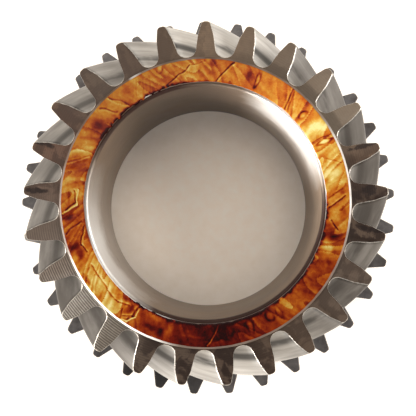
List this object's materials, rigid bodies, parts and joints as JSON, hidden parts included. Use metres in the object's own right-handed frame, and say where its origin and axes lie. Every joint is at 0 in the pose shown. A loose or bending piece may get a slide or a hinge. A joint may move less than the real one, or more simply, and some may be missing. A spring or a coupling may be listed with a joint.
{
  "type": "compound idler gear",
  "caption": "Helical gear with a larger straight-toothed ring gear behind it, free-running on caged needle rollers and a plain sleeve between two thrust washers.",
  "frame": {"origin": "on the gear's axis, at the rear thrust washer's outer face, which the part rests on", "axes": "+Z along the gear's axis from the rear face to the front face; +Y towards the helical tooth nearest the top of the front face; +X to its right seen from the front"},
  "size_m": [0.1149, 0.1149, 0.0455],
  "materials": {
    "helical_steel": "machined and ground steel, dry",
    "ring_steel": "dark machined steel",
    "race_steel": "fine ground steel",
    "amber_film": "phosphor bronze under a wrinkled amber preservative film",
    "washer_steel": "ground steel",
    "cage_brass": "pressed brass",
    "bearing_steel": "polished bearing steel",
    "spring_steel": "blackened spring steel"
  },
  "bodies": {
    "sleeve_and_washers": {"inner_sleeve": "race_steel", "front_thrust_washer": "amber_film", "rear_thrust_washer": "washer_steel"},
    "gear_cluster": {"helical_gear": "helical_steel", "ring_gear": "ring_steel", "dowel_1": "bearing_steel", "dowel_2": "bearing_steel", "dowel_3": "bearing_steel", "snap_ring": "spring_steel"},
    "rear_cage_body": {"rear_cage": "cage_brass"},
    "front_cage_body": {"front_cage": "cage_brass"},
    "spacer_body": {"cage_spacer": "cage_brass"},
    "rear_roller_01_body": {"rear_roller_01": "bearing_steel"},
    "rear_roller_02_body": {"rear_roller_02": "bearing_steel"},
    "rear_roller_03_body": {"rear_roller_03": "bearing_steel"},
    "rear_roller_04_body": {"rear_roller_04": "bearing_steel"},
    "rear_roller_05_body": {"rear_roller_05": "bearing_steel"},
    "rear_roller_06_body": {"rear_roller_06": "bearing_steel"},
    "rear_roller_07_body": {"rear_roller_07": "bearing_steel"},
    "rear_roller_08_body": {"rear_roller_08": "bearing_steel"},
    "rear_roller_09_body": {"rear_roller_09": "bearing_steel"},
    "rear_roller_10_body": {"rear_roller_10": "bearing_steel"},
    "rear_roller_11_body": {"rear_roller_11": "bearing_steel"},
    "rear_roller_12_body": {"rear_roller_12": "bearing_steel"},
    "rear_roller_13_body": {"rear_roller_13": "bearing_steel"},
    "rear_roller_14_body": {"rear_roller_14": "bearing_steel"},
    "rear_roller_15_body": {"rear_roller_15": "bearing_steel"},
    "rear_roller_16_body": {"rear_roller_16": "bearing_steel"},
    "rear_roller_17_body": {"rear_roller_17": "bearing_steel"},
    "rear_roller_18_body": {"rear_roller_18": "bearing_steel"},
    "front_roller_01_body": {"front_roller_01": "bearing_steel"},
    "front_roller_02_body": {"front_roller_02": "bearing_steel"},
    "front_roller_03_body": {"front_roller_03": "bearing_steel"},
    "front_roller_04_body": {"front_roller_04": "bearing_steel"},
    "front_roller_05_body": {"front_roller_05": "bearing_steel"},
    "front_roller_06_body": {"front_roller_06": "bearing_steel"},
    "front_roller_07_body": {"front_roller_07": "bearing_steel"},
    "front_roller_08_body": {"front_roller_08": "bearing_steel"},
    "front_roller_09_body": {"front_roller_09": "bearing_steel"},
    "front_roller_10_body": {"front_roller_10": "bearing_steel"},
    "front_roller_11_body": {"front_roller_11": "bearing_steel"},
    "front_roller_12_body": {"front_roller_12": "bearing_steel"},
    "front_roller_13_body": {"front_roller_13": "bearing_steel"},
    "front_roller_14_body": {"front_roller_14": "bearing_steel"},
    "front_roller_15_body": {"front_roller_15": "bearing_steel"},
    "front_roller_16_body": {"front_roller_16": "bearing_steel"},
    "front_roller_17_body": {"front_roller_17": "bearing_steel"},
    "front_roller_18_body": {"front_roller_18": "bearing_steel"}
  },
  "joints": [
    {"name": "gear_spin", "type": "hinge", "parent": "sleeve_and_washers", "child": "gear_cluster", "pos_m": [0, 0, 0.02275], "axis": [0, 0, 1], "continuous": true},
    {"name": "rear_cage_spin", "type": "hinge", "parent": "sleeve_and_washers", "child": "rear_cage_body", "pos_m": [0, 0, 0.02275], "axis": [0, 0, 1], "continuous": true},
    {"name": "front_cage_spin", "type": "hinge", "parent": "sleeve_and_washers", "child": "front_cage_body", "pos_m": [0, 0, 0.02275], "axis": [0, 0, 1], "continuous": true},
    {"name": "spacer_spin", "type": "hinge", "parent": "sleeve_and_washers", "child": "spacer_body", "pos_m": [0, 0, 0.02275], "axis": [0, 0, 1], "continuous": true},
    {"name": "rear_roller_01_spin", "type": "hinge", "parent": "rear_cage_body", "child": "rear_roller_01_body", "pos_m": [0.0341, 0, 0.01165], "axis": [0, 0, 1], "continuous": true},
    {"name": "rear_roller_02_spin", "type": "hinge", "parent": "rear_cage_body", "child": "rear_roller_02_body", "pos_m": [0.03204, 0.01166, 0.01165], "axis": [0, 0, 1], "continuous": true},
    {"name": "rear_roller_03_spin", "type": "hinge", "parent": "rear_cage_body", "child": "rear_roller_03_body", "pos_m": [0.02612, 0.02192, 0.01165], "axis": [0, 0, 1], "continuous": true},
    {"name": "rear_roller_04_spin", "type": "hinge", "parent": "rear_cage_body", "child": "rear_roller_04_body", "pos_m": [0.01705, 0.02953, 0.01165], "axis": [0, 0, 1], "continuous": true},
    {"name": "rear_roller_05_spin", "type": "hinge", "parent": "rear_cage_body", "child": "rear_roller_05_body", "pos_m": [0.00592, 0.03358, 0.01165], "axis": [0, 0, 1], "continuous": true},
    {"name": "rear_roller_06_spin", "type": "hinge", "parent": "rear_cage_body", "child": "rear_roller_06_body", "pos_m": [-0.00592, 0.03358, 0.01165], "axis": [0, 0, 1], "continuous": true},
    {"name": "rear_roller_07_spin", "type": "hinge", "parent": "rear_cage_body", "child": "rear_roller_07_body", "pos_m": [-0.01705, 0.02953, 0.01165], "axis": [0, 0, 1], "continuous": true},
    {"name": "rear_roller_08_spin", "type": "hinge", "parent": "rear_cage_body", "child": "rear_roller_08_body", "pos_m": [-0.02612, 0.02192, 0.01165], "axis": [0, 0, 1], "continuous": true},
    {"name": "rear_roller_09_spin", "type": "hinge", "parent": "rear_cage_body", "child": "rear_roller_09_body", "pos_m": [-0.03204, 0.01166, 0.01165], "axis": [0, 0, 1], "continuous": true},
    {"name": "rear_roller_10_spin", "type": "hinge", "parent": "rear_cage_body", "child": "rear_roller_10_body", "pos_m": [-0.0341, 0, 0.01165], "axis": [0, 0, 1], "continuous": true},
    {"name": "rear_roller_11_spin", "type": "hinge", "parent": "rear_cage_body", "child": "rear_roller_11_body", "pos_m": [-0.03204, -0.01166, 0.01165], "axis": [0, 0, 1], "continuous": true},
    {"name": "rear_roller_12_spin", "type": "hinge", "parent": "rear_cage_body", "child": "rear_roller_12_body", "pos_m": [-0.02612, -0.02192, 0.01165], "axis": [0, 0, 1], "continuous": true},
    {"name": "rear_roller_13_spin", "type": "hinge", "parent": "rear_cage_body", "child": "rear_roller_13_body", "pos_m": [-0.01705, -0.02953, 0.01165], "axis": [0, 0, 1], "continuous": true},
    {"name": "rear_roller_14_spin", "type": "hinge", "parent": "rear_cage_body", "child": "rear_roller_14_body", "pos_m": [-0.00592, -0.03358, 0.01165], "axis": [0, 0, 1], "continuous": true},
    {"name": "rear_roller_15_spin", "type": "hinge", "parent": "rear_cage_body", "child": "rear_roller_15_body", "pos_m": [0.00592, -0.03358, 0.01165], "axis": [0, 0, 1], "continuous": true},
    {"name": "rear_roller_16_spin", "type": "hinge", "parent": "rear_cage_body", "child": "rear_roller_16_body", "pos_m": [0.01705, -0.02953, 0.01165], "axis": [0, 0, 1], "continuous": true},
    {"name": "rear_roller_17_spin", "type": "hinge", "parent": "rear_cage_body", "child": "rear_roller_17_body", "pos_m": [0.02612, -0.02192, 0.01165], "axis": [0, 0, 1], "continuous": true},
    {"name": "rear_roller_18_spin", "type": "hinge", "parent": "rear_cage_body", "child": "rear_roller_18_body", "pos_m": [0.03204, -0.01166, 0.01165], "axis": [0, 0, 1], "continuous": true},
    {"name": "front_roller_01_spin", "type": "hinge", "parent": "front_cage_body", "child": "front_roller_01_body", "pos_m": [0.0341, 0, 0.03385], "axis": [0, 0, 1], "continuous": true},
    {"name": "front_roller_02_spin", "type": "hinge", "parent": "front_cage_body", "child": "front_roller_02_body", "pos_m": [0.03204, 0.01166, 0.03385], "axis": [0, 0, 1], "continuous": true},
    {"name": "front_roller_03_spin", "type": "hinge", "parent": "front_cage_body", "child": "front_roller_03_body", "pos_m": [0.02612, 0.02192, 0.03385], "axis": [0, 0, 1], "continuous": true},
    {"name": "front_roller_04_spin", "type": "hinge", "parent": "front_cage_body", "child": "front_roller_04_body", "pos_m": [0.01705, 0.02953, 0.03385], "axis": [0, 0, 1], "continuous": true},
    {"name": "front_roller_05_spin", "type": "hinge", "parent": "front_cage_body", "child": "front_roller_05_body", "pos_m": [0.00592, 0.03358, 0.03385], "axis": [0, 0, 1], "continuous": true},
    {"name": "front_roller_06_spin", "type": "hinge", "parent": "front_cage_body", "child": "front_roller_06_body", "pos_m": [-0.00592, 0.03358, 0.03385], "axis": [0, 0, 1], "continuous": true},
    {"name": "front_roller_07_spin", "type": "hinge", "parent": "front_cage_body", "child": "front_roller_07_body", "pos_m": [-0.01705, 0.02953, 0.03385], "axis": [0, 0, 1], "continuous": true},
    {"name": "front_roller_08_spin", "type": "hinge", "parent": "front_cage_body", "child": "front_roller_08_body", "pos_m": [-0.02612, 0.02192, 0.03385], "axis": [0, 0, 1], "continuous": true},
    {"name": "front_roller_09_spin", "type": "hinge", "parent": "front_cage_body", "child": "front_roller_09_body", "pos_m": [-0.03204, 0.01166, 0.03385], "axis": [0, 0, 1], "continuous": true},
    {"name": "front_roller_10_spin", "type": "hinge", "parent": "front_cage_body", "child": "front_roller_10_body", "pos_m": [-0.0341, 0, 0.03385], "axis": [0, 0, 1], "continuous": true},
    {"name": "front_roller_11_spin", "type": "hinge", "parent": "front_cage_body", "child": "front_roller_11_body", "pos_m": [-0.03204, -0.01166, 0.03385], "axis": [0, 0, 1], "continuous": true},
    {"name": "front_roller_12_spin", "type": "hinge", "parent": "front_cage_body", "child": "front_roller_12_body", "pos_m": [-0.02612, -0.02192, 0.03385], "axis": [0, 0, 1], "continuous": true},
    {"name": "front_roller_13_spin", "type": "hinge", "parent": "front_cage_body", "child": "front_roller_13_body", "pos_m": [-0.01705, -0.02953, 0.03385], "axis": [0, 0, 1], "continuous": true},
    {"name": "front_roller_14_spin", "type": "hinge", "parent": "front_cage_body", "child": "front_roller_14_body", "pos_m": [-0.00592, -0.03358, 0.03385], "axis": [0, 0, 1], "continuous": true},
    {"name": "front_roller_15_spin", "type": "hinge", "parent": "front_cage_body", "child": "front_roller_15_body", "pos_m": [0.00592, -0.03358, 0.03385], "axis": [0, 0, 1], "continuous": true},
    {"name": "front_roller_16_spin", "type": "hinge", "parent": "front_cage_body", "child": "front_roller_16_body", "pos_m": [0.01705, -0.02953, 0.03385], "axis": [0, 0, 1], "continuous": true},
    {"name": "front_roller_17_spin", "type": "hinge", "parent": "front_cage_body", "child": "front_roller_17_body", "pos_m": [0.02612, -0.02192, 0.03385], "axis": [0, 0, 1], "continuous": true},
    {"name": "front_roller_18_spin", "type": "hinge", "parent": "front_cage_body", "child": "front_roller_18_body", "pos_m": [0.03204, -0.01166, 0.03385], "axis": [0, 0, 1], "continuous": true}
  ],
  "couplings": [
    {"joint": "rear_cage_spin", "follows": "gear_spin", "ratio": 0.51906},
    {"joint": "front_cage_spin", "follows": "gear_spin", "ratio": 0.51906},
    {"joint": "spacer_spin", "follows": "gear_spin", "ratio": 0.51906},
    {"joint": "rear_roller_01_spin", "follows": "gear_spin", "ratio": 14.188},
    {"joint": "rear_roller_02_spin", "follows": "gear_spin", "ratio": 14.188},
    {"joint": "rear_roller_03_spin", "follows": "gear_spin", "ratio": 14.188},
    {"joint": "rear_roller_04_spin", "follows": "gear_spin", "ratio": 14.188},
    {"joint": "rear_roller_05_spin", "follows": "gear_spin", "ratio": 14.188},
    {"joint": "rear_roller_06_spin", "follows": "gear_spin", "ratio": 14.188},
    {"joint": "rear_roller_07_spin", "follows": "gear_spin", "ratio": 14.188},
    {"joint": "rear_roller_08_spin", "follows": "gear_spin", "ratio": 14.188},
    {"joint": "rear_roller_09_spin", "follows": "gear_spin", "ratio": 14.188},
    {"joint": "rear_roller_10_spin", "follows": "gear_spin", "ratio": 14.188},
    {"joint": "rear_roller_11_spin", "follows": "gear_spin", "ratio": 14.188},
    {"joint": "rear_roller_12_spin", "follows": "gear_spin", "ratio": 14.188},
    {"joint": "rear_roller_13_spin", "follows": "gear_spin", "ratio": 14.188},
    {"joint": "rear_roller_14_spin", "follows": "gear_spin", "ratio": 14.188},
    {"joint": "rear_roller_15_spin", "follows": "gear_spin", "ratio": 14.188},
    {"joint": "rear_roller_16_spin", "follows": "gear_spin", "ratio": 14.188},
    {"joint": "rear_roller_17_spin", "follows": "gear_spin", "ratio": 14.188},
    {"joint": "rear_roller_18_spin", "follows": "gear_spin", "ratio": 14.188},
    {"joint": "front_roller_01_spin", "follows": "gear_spin", "ratio": 14.188},
    {"joint": "front_roller_02_spin", "follows": "gear_spin", "ratio": 14.188},
    {"joint": "front_roller_03_spin", "follows": "gear_spin", "ratio": 14.188},
    {"joint": "front_roller_04_spin", "follows": "gear_spin", "ratio": 14.188},
    {"joint": "front_roller_05_spin", "follows": "gear_spin", "ratio": 14.188},
    {"joint": "front_roller_06_spin", "follows": "gear_spin", "ratio": 14.188},
    {"joint": "front_roller_07_spin", "follows": "gear_spin", "ratio": 14.188},
    {"joint": "front_roller_08_spin", "follows": "gear_spin", "ratio": 14.188},
    {"joint": "front_roller_09_spin", "follows": "gear_spin", "ratio": 14.188},
    {"joint": "front_roller_10_spin", "follows": "gear_spin", "ratio": 14.188},
    {"joint": "front_roller_11_spin", "follows": "gear_spin", "ratio": 14.188},
    {"joint": "front_roller_12_spin", "follows": "gear_spin", "ratio": 14.188},
    {"joint": "front_roller_13_spin", "follows": "gear_spin", "ratio": 14.188},
    {"joint": "front_roller_14_spin", "follows": "gear_spin", "ratio": 14.188},
    {"joint": "front_roller_15_spin", "follows": "gear_spin", "ratio": 14.188},
    {"joint": "front_roller_16_spin", "follows": "gear_spin", "ratio": 14.188},
    {"joint": "front_roller_17_spin", "follows": "gear_spin", "ratio": 14.188},
    {"joint": "front_roller_18_spin", "follows": "gear_spin", "ratio": 14.188}
  ]
}
